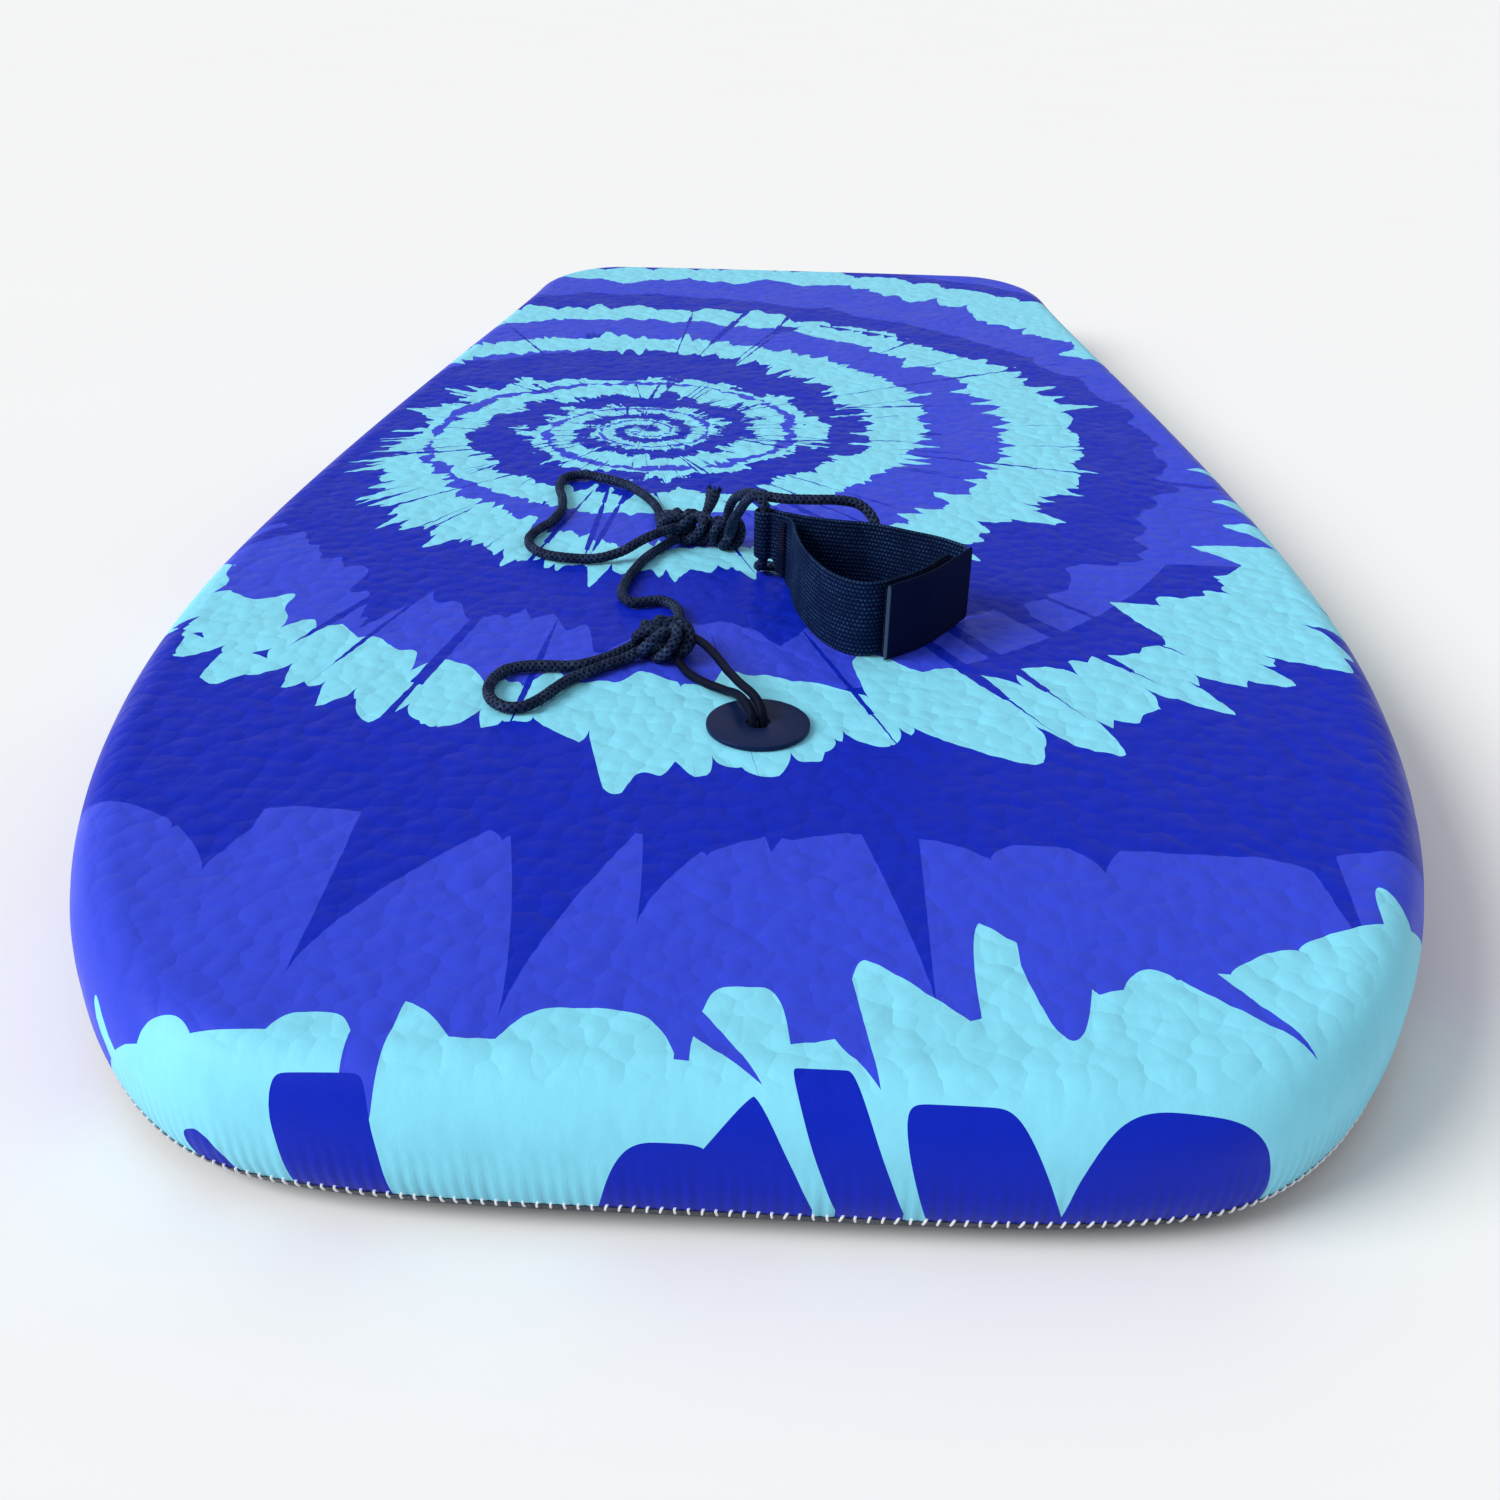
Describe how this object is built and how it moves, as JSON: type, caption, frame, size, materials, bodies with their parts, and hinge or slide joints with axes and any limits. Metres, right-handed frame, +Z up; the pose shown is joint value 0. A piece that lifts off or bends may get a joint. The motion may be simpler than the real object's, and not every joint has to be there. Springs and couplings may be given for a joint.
{
  "type": "bodyboard",
  "caption": "Foam bodyboard with a printed deck cover, a slick bottom, a through plug and a corded wrist leash with a webbing cuff.",
  "frame": {"origin": "on the ground under the middle of the board's length and width, with the bottom panel at Z 0", "axes": "+Z up out of the deck, -Y towards the nose, +Y towards the tail, +X to the right seen from the nose"},
  "size_m": [0.508, 1.041, 0.0898],
  "materials": {
    "foam": "matte",
    "printed_cover": "satin",
    "bottom_skin": "satin",
    "white_thread": "matte",
    "plug_plastic": "satin",
    "anchor_cord": "satin",
    "braided_cord": "matte",
    "webbing": "matte",
    "navy_thread": "matte",
    "hook_and_loop": "matte"
  },
  "bodies": {
    "board": {"foam_core": "foam", "deck_cover": "printed_cover", "bottom_panel": "bottom_skin", "seam_thread": "white_thread", "plug_top_disc": "plug_plastic", "plug_bottom_cup": "plug_plastic"},
    "leash": {"anchor_stopper_knot": "anchor_cord", "anchor_leg_upper": "anchor_cord", "anchor_leg_lower": "anchor_cord", "knot_near": "braided_cord", "end_loop": "braided_cord", "leash_cord": "braided_cord", "knot_far": "braided_cord", "slack_loop": "braided_cord", "cord_tail": "braided_cord"},
    "lanyard": {"lanyard_knot": "braided_cord", "lanyard_cord": "braided_cord"},
    "cuff": {"cuff_band": "webbing", "bar_tack": "navy_thread", "loop_tape": "hook_and_loop"},
    "flap": {"cuff_flap": "webbing", "hook_tape": "hook_and_loop"}
  },
  "joints": [
    {"name": "leash_swivel", "type": "hinge", "parent": "board", "child": "leash", "pos_m": [0.0026, -0.325, 0.05], "axis": [0, 0, 1], "range_deg": [-60, 35]},
    {"name": "cuff_swing", "type": "hinge", "parent": "leash", "child": "lanyard", "pos_m": [-0.019, -0.147, 0.0573], "axis": [0, 0, 1], "range_deg": [-8, 60]},
    {"name": "cuff_turn", "type": "hinge", "parent": "lanyard", "child": "cuff", "pos_m": [-0.0005, -0.1845, 0.066], "axis": [0, 0, 1], "range_deg": [-25, 2]},
    {"name": "flap_peel", "type": "hinge", "parent": "cuff", "child": "flap", "pos_m": [0.086, -0.221, 0.066], "axis": [0, 0, 1], "range_deg": [0, 120]}
  ]
}
